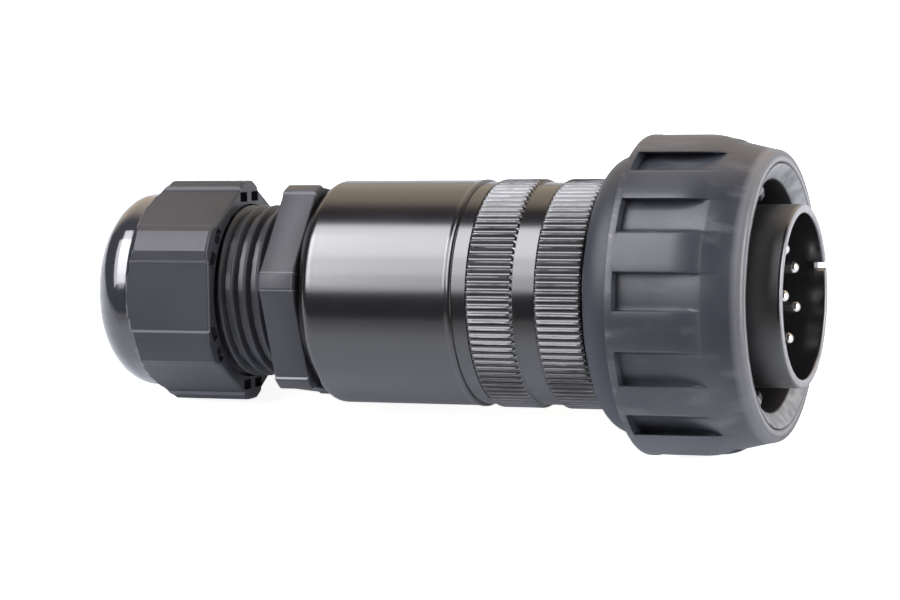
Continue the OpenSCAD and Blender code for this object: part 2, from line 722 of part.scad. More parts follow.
// ---- Assembly ----

grip_ring();
coupling_sleeve();
return_spring();
sleeve_circlip();
shell_body();
front_insulator();
face_seal();
insulator_o_ring();
rear_insulator();
insulator_snap_ring();
contact_pin(1);  // contact_pin_1
contact_pin(2);  // contact_pin_2
contact_pin(3);  // contact_pin_3
contact_pin(4);  // contact_pin_4
contact_pin(5);  // contact_pin_5
contact_pin(6);  // contact_pin_6
contact_pin(7);  // contact_pin_7
contact_pin(8);  // contact_pin_8
union_ring();
union_o_ring();
backshell();
flange_gasket();
gland_body();
clamping_cage();
gland_seal();
gland_nut();
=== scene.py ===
# Push-pull circular connector: a cable plug with eight pins, a sprung coupling ring with a
# ribbed rubber grip, a smooth backshell and a cable gland with a dome nut.
import math

import bmesh
import bpy
from mathutils import Matrix, Vector


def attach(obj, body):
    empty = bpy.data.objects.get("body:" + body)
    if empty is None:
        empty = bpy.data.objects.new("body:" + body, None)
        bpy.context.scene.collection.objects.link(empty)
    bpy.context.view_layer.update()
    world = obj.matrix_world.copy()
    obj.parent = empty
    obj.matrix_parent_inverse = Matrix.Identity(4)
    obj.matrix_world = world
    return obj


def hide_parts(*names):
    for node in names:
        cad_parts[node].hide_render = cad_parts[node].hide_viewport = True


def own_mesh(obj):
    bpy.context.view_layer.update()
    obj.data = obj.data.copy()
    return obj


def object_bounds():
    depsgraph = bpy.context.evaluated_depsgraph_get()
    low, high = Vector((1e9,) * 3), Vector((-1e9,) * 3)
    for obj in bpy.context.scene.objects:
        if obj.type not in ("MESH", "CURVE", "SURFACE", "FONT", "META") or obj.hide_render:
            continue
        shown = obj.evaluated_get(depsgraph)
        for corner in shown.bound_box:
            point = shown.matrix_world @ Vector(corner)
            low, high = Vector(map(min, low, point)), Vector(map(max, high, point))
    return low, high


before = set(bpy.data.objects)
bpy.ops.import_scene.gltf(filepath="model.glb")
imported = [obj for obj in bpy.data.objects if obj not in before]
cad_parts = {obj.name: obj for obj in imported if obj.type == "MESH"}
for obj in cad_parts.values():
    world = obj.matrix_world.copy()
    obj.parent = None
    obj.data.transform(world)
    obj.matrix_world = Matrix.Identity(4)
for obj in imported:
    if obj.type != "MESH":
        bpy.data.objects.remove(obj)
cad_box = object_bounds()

MM = 0.001
low, high = (Vector(corner) for corner in cad_box)
middle = (low + high) / 2


def shown(name, data):
    """Adds an object to the scene."""
    made = bpy.data.objects.new(name, data)
    bpy.context.scene.collection.objects.link(made)
    return made


def mesh_of(name, bm):
    """Mesh data from a bmesh, which is used up."""
    data = bpy.data.meshes.new(name)
    bm.to_mesh(data)
    bm.free()
    return data


lens = bpy.data.cameras.new("camera")
lens.sensor_width, lens.lens, lens.clip_start = 36, 125.5, 0.01
view_azimuth, view_elevation, view_roll, view_distance = 24.06, 27.09, -10.77, 0.5057
look_at = middle + Vector((-0.5, -0.6, -1.1)) * MM
looking = (Matrix.Rotation(math.radians(view_azimuth), 4, "Z")
           @ Matrix.Rotation(math.radians(90 - view_elevation), 4, "X")
           @ Matrix.Rotation(math.radians(view_roll), 4, "Z"))
away = looking.to_3x3() @ Vector((0, 0, view_distance))
camera = shown("camera", lens)
camera.matrix_world = Matrix.Translation(look_at + away) @ looking
bpy.context.scene.camera = camera


def lamp(name, toward, distance, size, power, tint=(1, 1, 1)):
    """A soft rectangular lamp that looks at the plug. Its second side stands across the axis."""
    light = bpy.data.lights.new(name, "AREA")
    light.shape = "RECTANGLE"
    light.size, light.size_y = size
    light.energy, light.color = power, tint
    back = Vector(toward).normalized()
    side = (Vector((1, 0, 0)) - back * back.x).normalized()
    turned = Matrix((side, back.cross(side), back)).transposed().to_4x4()
    shown(name, light).matrix_world = Matrix.Translation(middle + back * distance) @ turned


# The softbox fades towards its near end: three sheets of light that share the far end. Each
# has a height above the table and a half width, both in degrees, and a power in watts.
softbox_tint, softbox_distance, softbox_length = (0.95, 0.95, 1.0), 0.9, 0.44
softbox_along, softbox_across = -0.36, 0.933
sheets = [(82, 16, 1.0), (73, 25, 1.7), (65, 33, 4.6)]
for number, (height, half_width, power) in enumerate(sheets):
    height = math.radians(height)
    lamp("softbox_%d" % number,
         (softbox_along, -softbox_across * math.cos(height), softbox_across * math.sin(height)),
         softbox_distance,
         (softbox_length, 2 * softbox_distance * math.tan(math.radians(half_width))),
         power, softbox_tint)
lamp_distance = 0.8
lamp("end_light", (0.93, 0.05, 0.36), lamp_distance, (0.45, 0.5), 4.5)
lamp("low_light", (0.9, -0.34, 0.12), lamp_distance, (0.2, 0.35), 1.6)
lamp("softbox_end", (-0.6, -0.376, 0.706), lamp_distance, (0.28, 0.72), 2.6, softbox_tint)


class Flow:
    """A shader socket that can be added, multiplied and so on with numbers and other sockets."""

    def __init__(self, tree, socket):
        self.tree, self.socket = tree, socket

    def feed(self, node, **values):
        """Sets or links a node's inputs: i0, i1 and so on count them, other words name them."""
        for key, value in values.items():
            counted = key[0] == "i" and key[1:].isdigit()
            socket = node.inputs[int(key[1:]) if counted else key.replace("_", " ")]
            if isinstance(value, Flow):
                self.tree.links.new(value.socket, socket)
            else:
                socket.default_value = value

    def node(self, kind, settings=None, out=0, **inputs):
        """Adds a node with its settings and inputs, and gives one of its outputs."""
        made = self.tree.nodes.new(kind)
        for key, value in (settings or {}).items():
            setattr(made, key, value)
        self.feed(made, **inputs)
        return Flow(self.tree, made.outputs[out])

    def out(self, key):
        """Another output of the same node."""
        return Flow(self.tree, self.socket.node.outputs[key])

    def maths(self, operation, a, b=0.0):
        return self.node("ShaderNodeMath", {"operation": operation}, i0=a, i1=b)

    def __add__(self, other):
        return self.maths("ADD", self, other)

    def __sub__(self, other):
        return self.maths("SUBTRACT", self, other)

    def __mul__(self, other):
        return self.maths("MULTIPLY", self, other)

    def __rsub__(self, other):
        return self.maths("SUBTRACT", other, self)

    def __truediv__(self, other):
        return self.maths("DIVIDE", self, other)

    __radd__, __rmul__ = __add__, __mul__

    def clamp(self):
        return self.node("ShaderNodeClamp", i0=self)

    def blend(self, share, first, second):
        """From the first colour at share 0 to the second at 1."""
        return self.node("ShaderNodeMix", {"data_type": "RGBA"}, out=2,
                         i0=share, i6=first, i7=second)


class Finish(Flow):
    """A new material with a Principled shader, whose sockets are set by name."""

    def __init__(self, name, **values):
        self.material = bpy.data.materials.new(name)
        self.material.use_nodes = True
        self.tree = self.material.node_tree
        self.shader = self.tree.nodes["Principled BSDF"]
        self.output = self.tree.nodes["Material Output"]
        self.set(**values)

    def set(self, **values):
        self.feed(self.shader, **values)

    def fed(self, name):
        """What feeds a socket of the shader so far."""
        return Flow(self.tree, self.shader.inputs[name].links[0].from_socket)

    def paint(self, share, colour):
        """Lays a colour over the base colour, fully where the share is 1."""
        self.set(Base_Color=self.blend(share.clamp(), self.fed("Base Color"), colour))

    def axes(self):
        """The object coordinates along X, Y and Z."""
        place = self.node("ShaderNodeTexCoord", out="Object")
        x = self.node("ShaderNodeSeparateXYZ", Vector=place)
        return x, x.out("Y"), x.out("Z")

    def noise(self, scale, detail, stretch=(1, 1, 1)):
        """Noise on object coordinates, which stretch draws out along or round the plug."""
        place = self.node("ShaderNodeTexCoord", out="Object")
        place = self.node("ShaderNodeMapping", Vector=place, Scale=stretch)
        return self.node("ShaderNodeTexNoise", Vector=place, Scale=scale, Detail=detail)

    def ramp(self, value, low_at, high_at):
        """From 0 to 1 while the value goes from one place to another."""
        return self.node("ShaderNodeMapRange", Value=value, From_Min=low_at, From_Max=high_at)

    def bump(self, height, distance):
        return self.node("ShaderNodeBump", Height=height, Distance=distance)


# The table: white paper, brighter to the camera so that only the soft contact shadow shows.
# The paper carries a painted pool of light, cool and bright under the plug and darker towards
# the front, and a painted glow that only reflections see fades the same way and shades the
# barrel's lower side.
y_painted_dark, y_painted_bright = -0.17, -0.01
paper_painted_dark, paper_painted_bright = (0.3, 0.3, 0.3, 1), (0.8, 0.83, 0.89, 1)
reflection_glow_dark, reflection_glow_bright = (0.0, 0.0, 0.0, 1), (0.8, 0.88, 1.0, 1)
white, glow_strength, reflection_glow_strength = (1, 1, 1, 1), 0.88, 0.12
table = Finish("white_table", Roughness=0.9)
rays = table.node("ShaderNodeLightPath")
# Painted pool of light: 1 under the plug, 0 towards the front, for the paper and the painted
# reflection glow.
painted_light_pool = table.ramp(table.axes()[1], y_painted_dark, y_painted_bright)
table.set(Base_Color=table.blend(painted_light_pool, paper_painted_dark, paper_painted_bright))
paper = Flow(table.tree, table.shader.outputs[0])
glow = table.node("ShaderNodeEmission", Color=white, Strength=glow_strength)
painted_reflection_glow = table.node("ShaderNodeEmission", Color=table.blend(painted_light_pool, reflection_glow_dark, reflection_glow_bright),
                   Strength=reflection_glow_strength)
mirrored = table.maths("MAXIMUM", rays.out("Is Glossy Ray"), rays.out("Is Transmission Ray"))
plain = table.node("ShaderNodeMixShader", i0=mirrored, i1=paper,
                   i2=table.node("ShaderNodeAddShader", i0=paper, i1=painted_reflection_glow))
picked = table.node("ShaderNodeMixShader", i0=rays.out("Is Camera Ray"), i1=plain,
                    i2=table.node("ShaderNodeAddShader", i0=paper, i1=glow))
table.feed(table.output, Surface=picked)

# The grip touches the table here, and the nut touches it further back and higher.
touch, nut_back, nut_rise = Vector((-24.4, 0, -25.02)) * MM, 83.35, 7.96
lean = Matrix.Rotation(math.atan2(nut_rise, nut_back), 3, "Y")
table_half = 3.0
sheet = bmesh.new()
bmesh.ops.create_grid(sheet, x_segments=1, y_segments=1, size=table_half)
bmesh.ops.rotate(sheet, verts=sheet.verts, matrix=lean)
bmesh.ops.translate(sheet, verts=sheet.verts, vec=touch)
floor_data = mesh_of("table", sheet)
floor_data.materials.append(table.material)
floor = shown("table", floor_data)

# The room is white to the camera. Other rays meet warm grey, dark but for a bright wall behind.
y_wall_low, y_wall_high, dark_room = 0.45, 0.72, 0.03
warm = (1.0, 0.84, 0.66, 1)
world = bpy.data.worlds.new("studio")
world.use_nodes = True
bpy.context.scene.world = world
background = world.node_tree.nodes["Background"]
sky = Flow(world.node_tree, None)
to_camera = sky.node("ShaderNodeLightPath", out="Is Camera Ray")
direction = sky.node("ShaderNodeTexCoord", out="Generated")
backward = sky.node("ShaderNodeSeparateXYZ", out="Y", Vector=direction)
behind = sky.node("ShaderNodeMapRange", {"interpolation_type": "SMOOTHSTEP"}, Value=backward,
                  From_Min=y_wall_low, From_Max=y_wall_high, To_Min=dark_room, To_Max=1.0)
sky.feed(background, Color=sky.blend(to_camera, warm, white),
         Strength=sky.maths("MAXIMUM", to_camera, behind))
bpy.context.scene.view_settings.view_transform = "Standard"

# ---- Shell: turned and black anodised, with the front knurl and the thin mating spigot ----
# The rim of the spigot carries the keyway, and its front face is pale partly from wear and
# partly from a painted highlight. Every turned piece below is spun from its half section, given
# as (station, radius) in millimetres behind the rim.
TINY, SLACK, NEXT_COPY = 1e-6, 0.01, 0.9999


def about_axis(degrees):
    """Rotation about the plug's axis."""
    return Matrix.Rotation(math.radians(degrees), 3, "X")


def arc(centre, radii, start, end, steps):
    """Points of an arc in a half section."""
    turns = [math.radians(start + (end - start) * i / steps) for i in range(steps + 1)]
    return [(centre[0] + radii[0] * math.cos(turn), centre[1] + radii[1] * math.sin(turn))
            for turn in turns]


def polar(vert):
    """A point's radius in millimetres and its angle about the axis in degrees."""
    return (math.hypot(vert.co.y, vert.co.z) / MM,
            math.degrees(math.atan2(-vert.co.z, -vert.co.y)))


def at_radius(vert, wanted):
    """Moves a point straight in or out to a radius in millimetres."""
    radius = polar(vert)[0]
    if radius > TINY:
        vert.co.y *= wanted / radius
        vert.co.z *= wanted / radius


def spun(section, stops=(1.0,), copies=144, shape=None, start=0.0):
    """A closed ring of revolution. Stops split each of the copies unevenly, and shape moves
    a point in or out: it takes the station, the radius and the share of one copy."""
    bm = bmesh.new()
    pitch = 360 / copies
    verts = [bm.verts.new((x * MM, -r * MM, 0)) for x, r in section]
    ring = [bm.edges.new((verts[i], verts[i - 1])) for i in range(len(verts))]
    bmesh.ops.rotate(bm, verts=verts, cent=(0, 0, 0), matrix=about_axis(start))
    geometry = verts + ring
    for _ in range(copies):
        last = 0.0
        for stop in stops:
            made = bmesh.ops.spin(bm, geom=geometry, cent=(0, 0, 0), axis=(1, 0, 0), steps=1,
                                  angle=math.radians((stop - last) * pitch), use_merge=False)
            geometry = made["geom_last"]
            last = stop
    bmesh.ops.remove_doubles(bm, verts=bm.verts, dist=TINY)
    if shape:
        for vert in bm.verts:
            radius, angle = polar(vert)
            share = ((angle - start) % pitch) / pitch
            share = 0.0 if share > NEXT_COPY else share
            at_radius(vert, shape(vert.co.x / MM, radius, share))
    bmesh.ops.recalc_face_normals(bm, faces=bm.faces)
    return bm


def piece(name, bm, body, nodes, material, sharp=35):
    """Makes an object of a finished mesh, shades it smooth between sharp edges and ties it."""
    data = mesh_of(name, bm)
    data.shade_smooth()
    data.set_sharp_from_angle(angle=math.radians(sharp))
    data.materials.append(material)
    made = shown(name, data)
    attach(made, body)
    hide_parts(*nodes)


def carve(bm, cutters):
    """Cuts closed shapes out of a mesh and gives the mesh back."""
    whole, tools = (shown(name, mesh_of(name, mesh))
                    for name, mesh in (("carve_whole", bm), ("carve_tools", cutters)))
    cut = whole.modifiers.new("cut", "BOOLEAN")
    cut.operation, cut.solver, cut.object = "DIFFERENCE", "EXACT", tools
    ready = whole.evaluated_get(bpy.context.evaluated_depsgraph_get())
    result = bmesh.new()
    result.from_mesh(ready.to_mesh())
    for thing in (whole, tools):
        bpy.data.objects.remove(thing)
    bmesh.ops.remove_doubles(result, verts=result.verts, dist=TINY)
    bmesh.ops.dissolve_degenerate(result, dist=TINY, edges=result.edges)
    bmesh.ops.recalc_face_normals(result, faces=result.faces)
    return result


def block(bm, centre, size, turn):
    """Adds a box to a mesh: at a station, radius and offset, then turned about the axis."""
    box = bmesh.ops.create_cube(bm, size=1)["verts"]
    bmesh.ops.scale(bm, verts=box, vec=Vector(size) * MM)
    place = Vector((centre[0], -centre[1], centre[2])) * MM
    bmesh.ops.translate(bm, verts=box, vec=place)
    bmesh.ops.rotate(bm, verts=box, cent=(0, 0, 0), matrix=about_axis(turn))


spigot_r, socket_r, neck_r, groove_r, knurl_r = 14.24, 12.84, 17.5, 17.7, 18.25
clip_groove_r, tail_r, bore_r = 13.64, 15.4, 13.2
x_clip_front, x_clip_rear, x_bore_step = -14.9, -16.0, -22.0
x_shoulder, x_neck_rear, x_knurl_rear = -27.05, -30.45, -38.22
x_union_front, x_tail_rear = -39.97, -48.47
rim_round, rim_inside, edge = 0.45, 0.3, 0.2
key_turn, key_middle, key_size = 172.5, -0.35, (2.7, 3.4, 1.4)
teeth, tooth_depth, knurl_end, knurl_round = 96, 0.45, 0.6, 0.15

# Shares of one tooth: the crowned land about its middle, then a flank, then the valley.
tooth_stops = [0.08, 0.17, 0.26, 0.38, 0.5, 0.62, 0.86, 1.0]
land_middle, land_end, flank_end = 0.17, 0.4, 0.56
crown_slope, flank_height = 2.0, 0.25


def tooth(share):
    """Height of a knurl tooth from 0 in the valley to 1 on its crowned land."""
    if share < land_end:
        return 1 - crown_slope * abs(share - land_middle)
    return flank_height if share < flank_end else 0.0


def knurl_section(x_rear, x_front):
    """Section of a knurled band, front to rear, with points wherever the valleys end."""
    drops = [knurl_end, tooth_depth, knurl_round, 0.0]
    return ([(x_front - knurl_end + drop, knurl_r - drop) for drop in drops]
            + [(x_front - 2 * knurl_end, knurl_r), (x_rear + 2 * knurl_end, knurl_r)]
            + [(x_rear + knurl_end - drop, knurl_r - drop) for drop in drops[::-1]])


def knurled(x_rear, x_front):
    """Shape function that cuts the teeth into the band between two stations."""
    def shape(x, radius, share):
        if radius > groove_r + 2 * SLACK and x_rear - SLACK < x < x_front + SLACK:
            return min(radius, knurl_r - tooth_depth + tooth_depth * tooth(share))
        return radius
    return shape


shell = spun(
    arc((-rim_round, spigot_r - rim_round), (rim_round, rim_round), 0, 90, 4)
    + [(x_clip_front, spigot_r), (x_clip_front, clip_groove_r), (x_clip_rear, clip_groove_r),
       (x_clip_rear, spigot_r), (x_shoulder, spigot_r), (x_shoulder, neck_r - edge),
       (x_shoulder - edge, neck_r), (x_neck_rear, neck_r)]
    + knurl_section(x_knurl_rear, x_neck_rear)
    + [(x_knurl_rear, groove_r), (x_union_front, groove_r), (x_union_front, tail_r),
       (x_tail_rear + edge, tail_r), (x_tail_rear, tail_r - edge), (x_tail_rear, bore_r),
       (x_bore_step, bore_r), (x_bore_step, socket_r), (-rim_round, socket_r)]
    + arc((-rim_round, socket_r + rim_inside), (rim_round, rim_inside), -90, -10, 3),
    stops=tooth_stops, copies=teeth, shape=knurled(x_knurl_rear, x_neck_rear))
keyway = bmesh.new()
block(keyway, (key_middle, (spigot_r + socket_r) / 2, 0), key_size, key_turn)
shell = carve(shell, keyway)


class Turned(Finish):
    """A finish laid out on the plug's axis: its station, and the angle round it from 0 to 1."""

    def __init__(self, name, **values):
        super().__init__(name, **values)
        x, y, z = self.axes()
        self.station = x / MM
        self.round = self.maths("ARCTAN2", z * -1.0, y * -1.0) / math.tau
        self.radius = self.maths("SQRT", y * y + z * z) / MM

    def between(self, low_at, high_at, soft=0.1):
        """1 between two stations in millimetres, 0 outside them."""
        rise = self.ramp(self.station, low_at - soft, low_at + soft)
        fall = self.ramp(self.station, high_at - soft, high_at + soft)
        return (rise * (1 - fall)).clamp()

    def from_face(self, turn):
        """Degrees from the middle of the nearest face of a hexagon."""
        return self.maths("FRACT", (self.round - turn / 360) * 6 + 6.0) * 60 - 30

    def face_line(self, turn, half_face, width=0.5):
        """1 on thin lines along both edges of the panel in each face of a hexagon."""
        away = self.maths("ABSOLUTE", self.maths("ABSOLUTE", self.from_face(turn)) - half_face)
        return self.ramp(away, width, width * 0.5)

    def tooth_line(self, at, width):
        """1 on one thin line along each of the teeth, 0 elsewhere."""
        share = self.maths("FRACT", self.round * teeth + 1.0)
        away = self.maths("ABSOLUTE", share - at)
        return self.ramp(away, width, width * 0.4)


anodised_dark, anodised_light = (0.010, 0.010, 0.012, 1), (0.018, 0.017, 0.019, 1)
painted_highlight_grey, rim_wear_and_highlight = (0.36, 0.36, 0.39, 1), (0.3, 0.3, 0.32, 1)
anodised_rough, anodised_depth = 0.15, 0.000004


def anodised(name, knurl=None):
    """Black anodised aluminium: glossy where it is turned, rougher on the lands of a knurl, with
    a painted highlight along each tooth.
    """
    finish = Turned(name, IOR=2.0)
    smudge = finish.noise(90, 4)
    tool_marks = finish.noise(1500, 2, (1, 0.03, 0.03))
    rough = anodised_rough + smudge * 0.07
    height = tool_marks * 1.6 + finish.noise(60, 2) * 2.0
    finish.set(Base_Color=finish.blend(smudge, anodised_dark, anodised_light))
    if knurl:
        band = finish.between(knurl[0] + 0.1, knurl[1] - 0.1)
        grain = finish.noise(2600, 4)
        land = band * finish.ramp(finish.radius, knurl_r - 0.4, knurl_r - 0.15)
        # A painted highlight runs along each tooth of the knurl, broken into patches, and is
        # glossier there.
        crest_highlight = finish.tooth_line(0.2, 0.1) * band
        highlight_patches = finish.ramp(finish.noise(380, 4, (0.5, 1, 1)), 0.38, 0.55)
        finish.paint(crest_highlight * highlight_patches, painted_highlight_grey)
        rough = (rough + land * (0.1 + grain * 0.2)) * (1 - crest_highlight * 0.4)
        height = height + land * grain * 9.0
    finish.set(Roughness=rough, Normal=finish.bump(height, anodised_depth))
    return finish


shell_finish = anodised("shell_anodised", (x_knurl_rear, x_neck_rear))
spigot = (shell_finish.between(x_shoulder, -rim_round - 0.15)
          * shell_finish.ramp(shell_finish.radius, spigot_r - 0.44, spigot_r - 0.14))
shell_finish.set(Roughness=shell_finish.fed("Roughness") + spigot.clamp() * 0.22)
# The rim's front face is painted pale: partly wear, partly a painted highlight.
rim = shell_finish.ramp(shell_finish.station, -0.3, -0.05)
shell_finish.paint(rim * (0.55 + shell_finish.noise(500, 3) * 0.6), rim_wear_and_highlight)
piece("shell", shell, "plug_body", ["shell_body"], shell_finish.material, 70)

# ---- Insulators, seals and snap ring inside the shell ----
# Two moulded discs of hard dark plastic hold the contacts. A cord ring and a flat rubber ring
# seal them, and a sprung wire ring in its groove holds them in.
insulator_dark, insulator_light = (0.035, 0.036, 0.04, 1), (0.05, 0.051, 0.056, 1)
seal_dark, seal_light = (0.012, 0.012, 0.012, 1), (0.022, 0.022, 0.022, 1)


def dress(finish, *nodes):
    """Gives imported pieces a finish."""
    for name in nodes:
        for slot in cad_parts[name].material_slots:
            slot.material = finish.material


def plastic(name, dark, light, roughness, grain=1200, depth=0.000006):
    """Moulded plastic or rubber with a fine grain and slow changes of shade."""
    finish = Turned(name, IOR=1.5)
    shade = finish.ramp(finish.noise(70, 4), 0.3, 0.7)
    fine = finish.noise(grain, 3)
    finish.set(Base_Color=finish.blend(shade, dark, light),
               Roughness=roughness - 0.06 + fine * 0.12, Normal=finish.bump(fine, depth))
    return finish


insulator_finish = plastic("insulator_moulded", insulator_dark, insulator_light, 0.45)
dress(insulator_finish, "front_insulator", "rear_insulator")
seal_finish = plastic("seal_rubber_black", seal_dark, seal_light, 0.6, 1800)
dress(seal_finish, "face_seal", "insulator_o_ring", "union_o_ring", "flange_gasket",
      "gland_seal")

# ---- Eight contact pins: turned brass, silver plated ----
# Seven stand on a circle and the eighth in the middle. Each has a round tip, a shank through
# the insulators with a collar between them, and a solder cup at the rear.
silver_dull, silver_light = (0.7, 0.69, 0.67, 1), (0.9, 0.9, 0.9, 1)


def bright_metal(name, dull, light, cloud_size=700, cloud_detail=4):
    """Smooth bare metal with a faint bloom."""
    finish = Turned(name, Metallic=1.0)
    bloom = finish.noise(700, 4)
    cloud = finish.noise(cloud_size, cloud_detail)
    finish.set(Base_Color=finish.blend(cloud, dull, light), Roughness=0.14 + bloom * 0.14,
               Normal=finish.bump(finish.noise(4000, 2), 0.000002))
    return finish


pin_r, shank_r, stop_r, cup_r, cup_bore_r = 1.03, 1.3, 2.0, 1.7, 1.15
x_tip, x_shank, x_between, x_cup_floor, x_cup_rear = -2.6, -11.7, -24.0, -37.5, -42.0
stop_length, cup_edge, cup_cone = 1.4, 0.1, 0.4
pins_on_circle, circle_r, first_turn = 7, 7.3, -16.7
silver_finish = bright_metal("silver_plated", silver_dull, silver_light)
for number in range(pins_on_circle + 1):
    pin = spun([(x_cup_rear, cup_bore_r), (x_cup_rear, cup_r - cup_edge),
                (x_cup_rear + cup_edge, cup_r), (x_between, cup_r), (x_between, stop_r),
                (x_between + stop_length, stop_r), (x_between + stop_length, shank_r),
                (x_shank, shank_r), (x_shank, pin_r)]
               + arc((x_tip - pin_r, 0), (pin_r, pin_r), 90, 2, 8)
               + [(x_tip, 0.0), (x_cup_floor, 0.0), (x_cup_floor - cup_cone, cup_bore_r)],
               copies=28)
    if number < pins_on_circle:
        turn = math.radians(first_turn + 360 / pins_on_circle * number)
        place = Vector((0, -math.cos(turn), -math.sin(turn))) * circle_r * MM
        bmesh.ops.translate(pin, verts=pin.verts, vec=place)
    piece("pin_%d" % (number + 1), pin, "plug_body", ["contact_pin_%d" % (number + 1)],
          silver_finish.material)

# ---- Coupling spring and circlip ----
# A coil of spring steel wire presses the coupling ring forward, and a flat ring sprung into
# the groove of the spigot stops it. Both sit inside the ring.
steel_dull, steel_light = (0.3, 0.3, 0.31, 1), (0.42, 0.42, 0.43, 1)
steel_finish = bright_metal("spring_steel_wire", steel_dull, steel_light, 900, 3)
dress(steel_finish, "return_spring", "sleeve_circlip", "insulator_snap_ring")
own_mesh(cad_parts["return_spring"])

# ---- Coupling sleeve: the hard plastic ring under the grip ----
# Moulded black plastic. Its bevelled mouth guides the mating shell, three lugs inside it lock
# in that shell's slots, and a web inside carries the spring.
mate_r, web_r, skirt_r, sleeve_r, collar_r, collar_tip_r = 18.1, 14.34, 18.6, 20.6, 22.3, 19.8
x_ring_front, x_web_front, x_web_rear = -3.6, -16.05, -18.05
x_grip_rear, x_ring_rear, collar_length = -25.0, -29.5, 4.5
bevel_depth, bevel_ease = 1.5, 0.25
lugs, lug_turn, lug_size, lug_middle, lug_edge = 3, 31, (4.0, 1.6, 2.0), -6.4, 0.25
sleeve_dark, sleeve_light = (0.006, 0.006, 0.007, 1), (0.011, 0.011, 0.013, 1)
bevel_painted_dull, bevel_painted_light = (0.16, 0.164, 0.175, 1), (0.34, 0.35, 0.37, 1)
collar_grey = (0.045, 0.05, 0.064, 1)
sleeve = spun([(x_ring_front - 0.25, sleeve_r - 0.02), (x_ring_front - 0.06, sleeve_r - 0.1),
               (x_ring_front - 0.1, sleeve_r - 0.3), (x_ring_front - bevel_depth, mate_r + 0.15),
               (x_ring_front - bevel_depth - bevel_ease, mate_r), (x_web_front, mate_r),
               (x_web_front, web_r), (x_web_rear, web_r), (x_web_rear, skirt_r),
               (x_ring_rear + 0.1, skirt_r), (x_ring_rear, skirt_r + 0.15)]
              + arc((x_grip_rear, collar_tip_r), (collar_length, collar_r - collar_tip_r),
                    180, 90, 8)
              + [(x_grip_rear, sleeve_r)])
for number in range(lugs):
    lug = bmesh.new()
    block(lug, (lug_middle, mate_r - 0.2, 0), lug_size, lug_turn + 360 / lugs * number)
    bmesh.ops.bevel(lug, geom=lug.edges, offset=lug_edge * MM, offset_type="OFFSET", segments=2,
                    profile=0.5, affect="EDGES", material=-1, clamp_overlap=True)
    sleeve.from_mesh(mesh_of("lug", lug))
sleeve_finish = plastic("sleeve_moulded", sleeve_dark, sleeve_light, 0.45, 900)
collar = (sleeve_finish.ramp(sleeve_finish.radius, skirt_r + 0.4, skirt_r + 1.0)
          * sleeve_finish.between(x_ring_rear - 0.5, x_grip_rear + 0.1))
sleeve_finish.paint(collar, collar_grey)
# The bevelled mouth is painted pale grey in patches: a painted highlight of light from the
# front.
bevel_highlight_patches = sleeve_finish.ramp(sleeve_finish.noise(420, 5), 0.35, 0.65)
bevel = (sleeve_finish.between(x_ring_front - 1.8, x_ring_front + 0.6)
         * sleeve_finish.ramp(sleeve_finish.radius, mate_r, mate_r + 0.2))
sleeve_finish.paint(bevel, sleeve_finish.blend(bevel_highlight_patches, bevel_painted_dull, bevel_painted_light))
piece("sleeve", sleeve, "coupling_ring", ["coupling_sleeve"],
      sleeve_finish.material)

# ---- Grip ring: soft black rubber moulded over the sleeve ----
# Twelve wide ribs, with shallow channels between them that run out on the brow, a plain rim
# behind and a rolled front edge. The ribs are scuffed where a hand pulls them.
rib_r, rib_floor_r, brow_r, brow_middle_r, brow_front_r = 25.19, 23.4, 23.9, 23.2, 22.8
grip_edge_r, roll = 22.0, 1.2
x_rib_rear, x_wall, x_rib_front, x_ramp_front, x_brow = -24.4, -23.2, -14.6, -9.6, -6.6
x_floor_rise = -16.1
ramp_bend, wall_round, rib_parts = 60, 0.35, 6
ramp_rise = (rib_r - brow_r) / (1 - math.cos(math.radians(ramp_bend)))
ramp_run = (x_ramp_front - x_rib_front) / math.sin(math.radians(ramp_bend))
rib_ramp = arc((x_rib_front, rib_r - ramp_rise), (ramp_run, ramp_rise), 90, 90 - ramp_bend, 10)
x_rib_start = x_wall + wall_round
rib_top = [(x_rib_start + (x_rib_front - x_rib_start) * i / rib_parts, rib_r)
           for i in range(rib_parts)]
grip_section = (
    [(x_ring_front - 0.4, sleeve_r + 0.1), (x_ring_front - 0.02, sleeve_r + 0.35)]
    + arc((x_ring_front - roll, grip_edge_r), (roll, brow_front_r - grip_edge_r), 4, 90, 6)
    + [(x_brow, brow_middle_r)] + rib_ramp[::-1] + rib_top[::-1]
    + [(x_wall + 0.1, rib_r), (x_wall, rib_r), (x_wall - 0.3, rib_r),
       (x_rib_rear + 0.25, rib_r), (x_rib_rear + 0.07, rib_r - 0.07),
       (x_rib_rear, rib_r - 0.25), (x_rib_rear - 0.1, rib_floor_r + 0.1),
       (x_grip_rear, collar_r - 0.2), (x_grip_rear, sleeve_r + 0.1)])


def ease(value):
    """A smooth step from 0 to 1."""
    value = min(1.0, max(0.0, value))
    return value * value * (3 - 2 * value)


